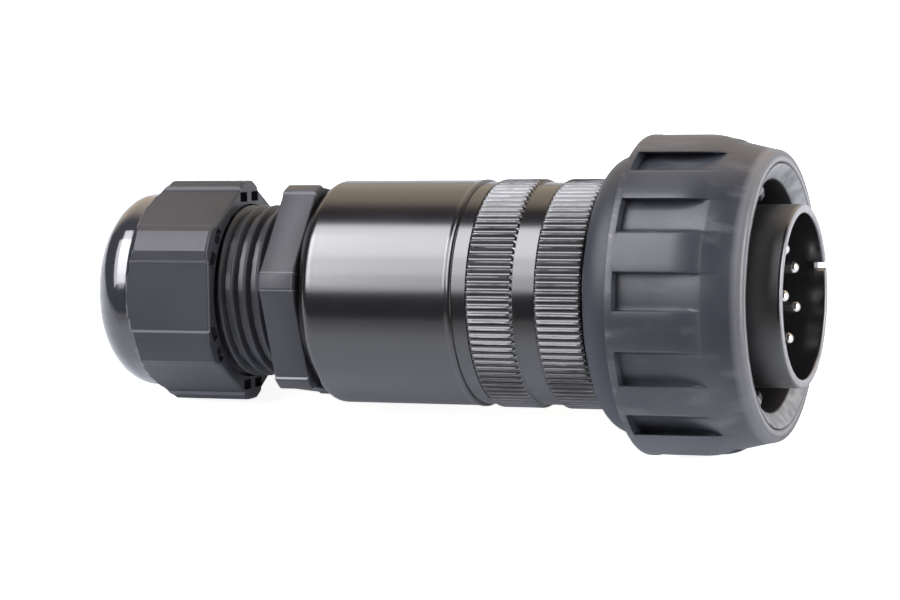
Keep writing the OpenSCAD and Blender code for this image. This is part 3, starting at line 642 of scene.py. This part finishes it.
# The mould opens one way, so the sides of the channels run that way and not to the axis. Each
# column of points has a distance from the middle plane, an angle, the share of that angle which
# counts, and a height: 0 on the floor of a channel, 1 on a rib. Sides stand at side_angles, and
# the last one stands at the parting line.
mould_angle, side_angles, side_half, parting_angle = -30.0, [7, 23, 37, 53, 67], 0.5, 83.0
side_step = [(-0.5, 0.0), (-0.16, 0.04), (-0.06, 0.15), (-0.02, 0.4), (0.02, 0.7),
             (0.06, 0.88), (0.16, 0.97), (0.45, 1.0)]
parting_step = [(-1.2, 1.0), (-0.4, 0.97), (-0.1, 0.85), (0.1, 0.15), (0.4, 0.03), (1.2, 0.0),
                (4.0, 0.0), (7.0, 0.0)]
last_angle, last_shares, flat_parts = 80.0, (0.3, 0.6, 0.85), 5
columns, last = [(0.0, 0.0, 0.0, 0.0)], 0.0
for number, side_angle in enumerate(side_angles):
    side_y = rib_floor_r * math.sin(math.radians(side_angle))
    rising = number % 2 == 0
    step = side_step if rising else [(-offset, height) for offset, height in side_step[::-1]]
    level = 0.0 if rising else 1.0
    columns += [(last + (side_y - side_half - last) * i / flat_parts, 0.0, 0.0, level)
                for i in range(1, flat_parts)]
    columns += [(side_y + offset, 0.0, 0.0, height) for offset, height in step]
    last = side_y + side_half
columns += [(last, last_angle, share, 1.0) for share in last_shares]
columns += [(last, parting_angle + turn, 1.0, height) for turn, height in parting_step]
around = [(column, way, offset)
          for way, offset, part in ((1, 0, columns[:-1]), (-1, 180, columns[:0:-1]),
                                    (1, 180, columns[:-1]), (-1, 360, columns[:0:-1]))
          for column in part]


def rubber_left(x, radius, level):
    """Radius of the grip at a station: the rib's own at level 1, the channel's at level 0."""
    outside = radius >= collar_r + 0.3
    if not outside or x > x_ramp_front + 2 * SLACK or x < x_wall + 2 * SLACK:
        return radius
    rise = ease((x - x_floor_rise) / (x_ramp_front - x_floor_rise))
    channel = min(radius, rib_floor_r + (brow_r - rib_floor_r) * rise)
    return channel + (radius - channel) * level


grip = spun(grip_section, stops=[(i + 1) / len(around) for i in range(len(around))], copies=1)
for vert in grip.verts:
    radius, turned = polar(vert)
    nearest = round(turned % 360 / 360 * len(around)) % len(around)
    (flat_y, angle, share, level), way, offset = around[nearest]
    radius = rubber_left(vert.co.x / MM, radius, level)
    leaning = math.degrees(math.asin(min(1.0, flat_y / max(radius, rib_floor_r))))
    turned = mould_angle + offset + way * (leaning * (1 - share) + angle * share)
    turned = math.radians(turned)
    vert.co.y, vert.co.z = -radius * math.cos(turned) * MM, -radius * math.sin(turned) * MM
bmesh.ops.recalc_face_normals(grip, faces=grip.faces)

# The rubber is mottled and dusty, and paler where it is rubbed along the rear edges of the
# ribs. The rolled front edge and the lip inside it carry a painted highlight.
rubber_dark, rubber_light = (0.03, 0.034, 0.046, 1), (0.062, 0.067, 0.082, 1)
dust, scuff_and_highlight, lip_highlight_grey = (0.19, 0.19, 0.21, 1), (0.2, 0.2, 0.215, 1), (0.3, 0.3, 0.315, 1)
grip_finish = Turned("grip_rubber_black", IOR=1.65)
cloud = grip_finish.noise(55, 5)
fine = grip_finish.noise(1500, 3)
streak = grip_finish.noise(260, 4, (0.35, 1, 1))
dusty = grip_finish.ramp(streak, 0.55, 0.75)
mottled = grip_finish.ramp(cloud, 0.36, 0.64)
rib_edge = (grip_finish.ramp(grip_finish.radius, rib_r - 0.24, rib_r + 0.01)
            * grip_finish.between(x_rib_rear - 0.2, x_wall - 0.2, 0.3))
rubbed = rib_edge * grip_finish.ramp(grip_finish.noise(700, 4), 0.5, 0.7)
front_edge_highlight = (grip_finish.between(x_ring_front - 1.6, x_ring_front + 0.6, 0.5)
              * grip_finish.ramp(grip_finish.radius, grip_edge_r - 0.4, grip_edge_r + 0.4))
lip_highlight = (grip_finish.between(x_ring_front - 0.8, x_ring_front + 0.6, 0.3)
       * grip_finish.ramp(grip_finish.radius, grip_edge_r - 0.1, grip_edge_r - 0.6))
grip_finish.set(Base_Color=grip_finish.blend(mottled, rubber_dark, rubber_light),
                Roughness=0.3 + cloud * 0.08 + fine * 0.1 + dusty * 0.1,
                Normal=grip_finish.bump(fine + streak * 1.5, 0.00001))
grip_finish.paint(dusty * 0.45, dust)
grip_finish.paint(rubbed * 0.4, scuff_and_highlight)
# Painted highlight on the rolled front edge and on the lip inside it.
grip_finish.paint(front_edge_highlight * 0.7, scuff_and_highlight)
grip_finish.paint(lip_highlight * 0.8, lip_highlight_grey)
piece("grip", grip, "coupling_ring", ["grip_ring"], grip_finish.material, 40)

# ---- Union ring: black anodised, screwed between the shell and the backshell ----
# Its knurled band matches the one of the shell, with a groove in front of it and a smooth band
# behind it. The turned spigot behind carries the backshell and a seal.
union_r, union_front_bore_r, union_bore_r, seal_groove_r, band_r = 15.9, 15.5, 14.0, 14.9, 17.8
x_band_front, x_union_rear, x_tail_stop, knurl_length = -49.49, -51.79, -48.57, 7.77
x_band_knurl, union_spigot, seal_groove = x_band_front + knurl_length, 7.0, 1.7
union = spun([(x_union_front, union_front_bore_r), (x_union_front, groove_r),
              (x_band_knurl, groove_r)]
             + knurl_section(x_band_front, x_band_knurl)
             + [(x_band_front, band_r), (x_union_rear, band_r), (x_union_rear, seal_groove_r),
                (x_union_rear - seal_groove, seal_groove_r),
                (x_union_rear - seal_groove, union_r),
                (x_union_rear - union_spigot + edge, union_r),
                (x_union_rear - union_spigot, union_r - edge),
                (x_union_rear - union_spigot, union_bore_r),
                (x_tail_stop, union_bore_r), (x_tail_stop, union_front_bore_r)],
             stops=tooth_stops, copies=teeth, shape=knurled(x_band_front, x_band_knurl))
union_finish = anodised("union_anodised", (x_band_front, x_band_knurl))
piece("union", union, "plug_body", ["union_ring"], union_finish.material, 70)

# ---- Backshell: a smooth turned tube, black anodised and glossy ----
# It is screwed on the union ring in front and takes the gland behind, where its edge is
# rounded. A narrow lip runs round its front end.
barrel_r, barrel_round, lip_r = 18.06, 1.8, 18.2
seat_r, seat_depth, tube_bore_r, entry_r, entry_depth = 16.0, 8, 15.4, 14.25, 12
x_barrel_rear, x_flange_front = -77.79, -78.59
backshell = spun([(x_union_rear, seat_r), (x_union_rear, lip_r - 0.3),
                  (x_union_rear - 0.1, lip_r - 0.1), (x_union_rear - 0.3, lip_r),
                  (x_union_rear - 0.7, lip_r), (x_union_rear - 1.0, barrel_r),
                  (x_union_rear - 1.4, barrel_r), (x_union_rear - 12, barrel_r),
                  (x_barrel_rear + barrel_round + 0.4, barrel_r)]
                 + arc((x_barrel_rear + barrel_round, barrel_r - barrel_round),
                       (barrel_round, barrel_round), 90, 180, 10)
                 + [(x_barrel_rear, entry_r), (x_flange_front + entry_depth, entry_r),
                    (x_flange_front + entry_depth, tube_bore_r),
                    (x_union_rear - seat_depth, tube_bore_r),
                    (x_union_rear - seat_depth, seat_r)], copies=180)
piece("backshell_tube", backshell, "plug_body", ["backshell"],
      anodised("backshell_anodised").material)

# ---- Cable gland body: moulded black nylon ----
# A hexagonal flange seats on the gasket behind the backshell, and a coarse rounded thread
# behind it takes the dome nut. The faces of the flange are left bare.
gland_half, flange_corner, flange_turn = 16.5, 18.45, 26.5
x_flange_rear, x_thread_rear = -84.49, -100.99
thread_r, thread_h, thread_pitch = 14.05, 0.95, 2.25
root_r = thread_r - thread_h
gland_entry_r, gland_entry, gland_bore_r, mouth_r, mouth_depth = 14.15, 11, 10.6, 11.9, 6
OUTER, INNER = 30.0, 20.0
PANEL_SIDE = 0.35
flange_panel = (25.2, 0.22)


def hexed(corner, panel, cone=None):
    """Shape function for a hexagon with turned corners. Radii near OUTER in the section stand
    for its faces, and those under INNER are left round. A panel has half a width in degrees
    and a depth, and a cone gives the greatest radius at a station."""
    def shape(x, radius, share):
        if radius < INNER:
            return radius
        turn = share * 60 - 30
        depth = panel[1] * ease((panel[0] + PANEL_SIDE - abs(turn)) / PANEL_SIDE)
        limit = min((gland_half - depth) / math.cos(math.radians(turn)), corner)
        if cone:
            limit = min(limit, cone(x))
        return limit - (OUTER - radius)
    return shape


def hex_stops(corner, panel):
    """Where a sixth of a hexagon is split: the arcs of its corners and the sides of a panel."""
    bend = math.degrees(math.acos(gland_half / corner))
    marks = [-bend, -bend / 2, 0, bend / 2, bend] + [bend + (30 - bend) * i / 3 for i in (1, 2)]
    marks += [-mark for mark in marks] + [30, -29]
    marks += [side * (panel[0] + step) for side in (-1, 1)
              for step in (0, 0.12, 0.24, PANEL_SIDE)]
    return sorted({round((mark + 30) / 60, 5) for mark in marks if mark > -30})


def eased_end(x_end, inward, size=0.35):
    """Section points of a hexagon's end, from its edge inwards."""
    return [(x_end, OUTER - size), (x_end + inward * size * 0.15, OUTER - size * 0.5),
            (x_end + inward * size * 0.5, OUTER - size * 0.15), (x_end + inward * size, OUTER)]


gland = spun([(x_flange_front, gland_entry_r)] + eased_end(x_flange_front, -1)
             + [((x_flange_front + x_flange_rear) / 2, OUTER)]
             + eased_end(x_flange_rear, 1)[::-1]
             + [(x_flange_rear, root_r), (x_thread_rear, root_r), (x_thread_rear, mouth_r),
                (x_thread_rear + mouth_depth, mouth_r),
                (x_thread_rear + mouth_depth, gland_bore_r),
                (x_flange_front + gland_entry, gland_bore_r),
                (x_flange_front + gland_entry, gland_entry_r)],
             stops=hex_stops(flange_corner, flange_panel), copies=6,
             shape=hexed(flange_corner, flange_panel), start=flange_turn)

# The thread is one rounded ridge, spun into a helix eighth by eighth. Its foot is sunk in the
# body, and it rises and fades at both ends.
ridge_foot, eighths, steps = 0.2, 52, 12
rise_length, fade_length = 1.2, 1.6
ridge = [(0.0, -0.2), (0.08, 0.0), (0.38, 0.6), (0.5, 0.8), (0.64, 0.91), (0.8, 0.95),
         (0.96, 0.91), (1.1, 0.8), (1.22, 0.6), (1.52, 0.0), (1.6, -0.2)]
x_start = x_thread_rear + 0.3
x_finish = x_start + eighths / 8 * thread_pitch
thread = bmesh.new()
points = [thread.verts.new(((x_start + x) * MM, -(root_r + h) * MM, 0)) for x, h in ridge]
geometry = points + [thread.edges.new((points[i], points[i - 1])) for i in range(len(points))]
for _ in range(eighths):
    eighth = bmesh.ops.spin(thread, geom=geometry, cent=(0, 0, 0), axis=(1, 0, 0),
                            dvec=(thread_pitch * MM / (8 * steps), 0, 0), angle=math.tau / 8,
                            steps=steps, use_merge=False)
    geometry = eighth["geom_last"]
bmesh.ops.remove_doubles(thread, verts=thread.verts, dist=TINY / 10)
bmesh.ops.holes_fill(thread, edges=[e for e in thread.edges if e.is_boundary], sides=0)
for vert in thread.verts:
    x = vert.co.x / MM
    height = min(ease((x - x_start) / rise_length),
                 ease((x_finish + fade_length - x) / fade_length))
    highest = root_r - ridge_foot + (thread_h + ridge_foot) * height
    at_radius(vert, min(polar(vert)[0], highest))
bmesh.ops.recalc_face_normals(thread, faces=thread.faces)
gland.from_mesh(mesh_of("thread", thread))

nylon_dark, nylon_light = (0.042, 0.043, 0.05, 1), (0.056, 0.058, 0.067, 1)
flange_highlight_grey, nylon_depth = (0.4, 0.4, 0.43, 1), 0.00001
nylon_finish = plastic("gland_nylon", nylon_dark, nylon_light, 0.36, 1600, nylon_depth)
# Painted highlights run along the panel edges of the flange.
edge_highlights = (nylon_finish.face_line(flange_turn, flange_panel[0] + 0.2, 0.4)
         * nylon_finish.between(x_flange_rear, x_flange_front))
nylon_finish.paint(edge_highlights * 0.6, flange_highlight_grey)
piece("gland", gland, "plug_body", ["gland_body"], nylon_finish.material, 20)
dress(nylon_finish, "clamping_cage")

# ---- Dome nut: moulded black nylon ----
# Hexagonal, with a shallow panel in each face, moulding pockets in its front end and a smooth
# dome behind that closes the cage of fingers on the cable.
nut_turn, nut_corner, nut_bore_r, nut_bore = 5.3, 18.1, 14.25, 10.4
dome_r, dome_tip_r, hole_edge_r, hole_r, hole_length = 15.95, 8.4, 9.45, 9.3, 1.4
x_nut_front, x_nut_hex_rear, x_cone_rear = -94.09, -107.2, -109.2
x_dome_front, x_dome_rear, x_hole_rear = -110.69, -116.69, -116.62
dome_start, dome_end = 92, 171
panel_width = 11.3
nut_panel = (math.degrees(math.atan(panel_width / 2 / gland_half)), 0.4)
pocket_size, pocket_middle, pocket_r, pocket_apart = (9, 1.6, 2.6), -97.59, 15.45, 4.2


def dome_cone(x):
    """Radius of the cone that takes the corners off behind the hexagon."""
    share = min(1.0, max(0.0, (x_nut_hex_rear - x) / (x_nut_hex_rear - x_cone_rear)))
    return nut_corner + SLACK - (nut_corner + SLACK - dome_r) * share


cone_parts = 21
cone_steps = [(x_nut_hex_rear + (x_dome_front - x_nut_hex_rear) * i / cone_parts, OUTER)
              for i in range(cone_parts + 1)]
nut = spun([(x_nut_front, nut_bore_r)] + eased_end(x_nut_front, -1, 0.45)
           + [(x_nut_front - 4.5, OUTER), (x_nut_front - 9, OUTER)] + cone_steps
           + arc((x_dome_front, dome_tip_r), (x_dome_front - x_dome_rear, dome_r - dome_tip_r),
                 dome_start, dome_end, 22)
           + [(x_hole_rear, hole_edge_r), (x_hole_rear, hole_r),
              (x_dome_rear + hole_length, hole_r), (x_nut_front - nut_bore, nut_bore_r)],
           stops=hex_stops(nut_corner, nut_panel), copies=6,
           shape=hexed(nut_corner, nut_panel, dome_cone), start=nut_turn)
pockets = bmesh.new()
for number in range(6):
    for side in (-1, 1):
        block(pockets, (pocket_middle, pocket_r, side * pocket_apart / 2), pocket_size,
              nut_turn + 60 * number)
nut = carve(nut, pockets)

# Painted highlights line the panel edges, and the dome behind the panels is polished.
nut_dark, nut_light, nut_highlight_grey = (0.036, 0.038, 0.046, 1), (0.05, 0.052, 0.062, 1), painted_highlight_grey
floor_half = gland_half - nut_panel[1]
nut_finish = plastic("nut_nylon", nut_dark, nut_light, 0.4, 1600, nylon_depth)
# Painted highlights along both edges of each panel.
edge_highlights = (nut_finish.face_line(nut_turn, nut_panel[0] + 0.2)
         * nut_finish.between(x_nut_hex_rear - 1, x_nut_front))
nut_finish.paint(edge_highlights * 0.4, nut_highlight_grey)
face_turn = nut_finish.from_face(nut_turn) * math.radians(1)
across_flats = nut_finish.radius * nut_finish.maths("COSINE", face_turn)
domed = (nut_finish.ramp(nut_finish.station, x_nut_hex_rear + 0.05, x_nut_hex_rear - 0.15)
         * nut_finish.ramp(across_flats, floor_half - 0.02, floor_half - 0.1)).clamp()
nut_finish.set(Roughness=nut_finish.fed("Roughness") * (1 - domed * 0.75), Coat_Weight=domed,
               Coat_IOR=1.75, Coat_Roughness=0.1)
piece("nut", nut, "dome_nut", ["gland_nut"], nut_finish.material, 15)
